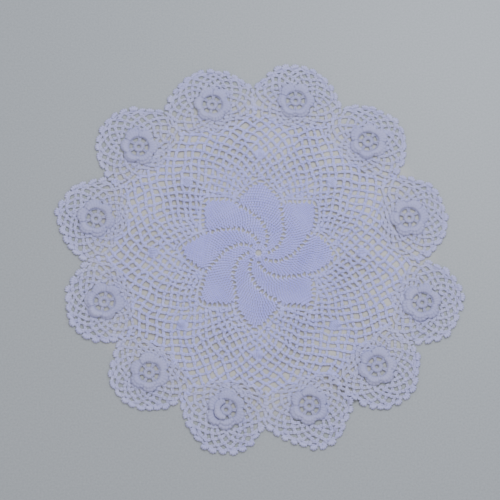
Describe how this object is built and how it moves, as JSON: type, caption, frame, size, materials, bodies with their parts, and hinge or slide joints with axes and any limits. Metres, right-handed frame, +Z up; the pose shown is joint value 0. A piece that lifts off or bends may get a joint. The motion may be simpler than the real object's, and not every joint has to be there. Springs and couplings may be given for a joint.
{
  "type": "lace doily",
  "caption": "Round crochet doily with a spiral star centre, open net and scalloped edge of raised roses.",
  "frame": {"origin": "middle of the underside, at the centre of the box around the scalloped edge", "axes": "+Z up from the surface it lies on, +X to the right and +Y away from the viewer"},
  "size_m": [0.3032, 0.3036, 0.0044],
  "materials": {
    "cotton_ground": "matt white crochet cotton with a faint lavender tint",
    "cotton_rose": "matt white crochet cotton with a faint lavender tint"
  },
  "bodies": {
    "root": {"doily_ground": "cotton_ground", "rose_01": "cotton_rose", "rose_02": "cotton_rose", "rose_03": "cotton_rose", "rose_04": "cotton_rose", "rose_05": "cotton_rose", "rose_06": "cotton_rose", "rose_07": "cotton_rose", "rose_08": "cotton_rose", "rose_09": "cotton_rose", "rose_10": "cotton_rose", "rose_11": "cotton_rose", "rose_12": "cotton_rose"}
  },
  "joints": []
}
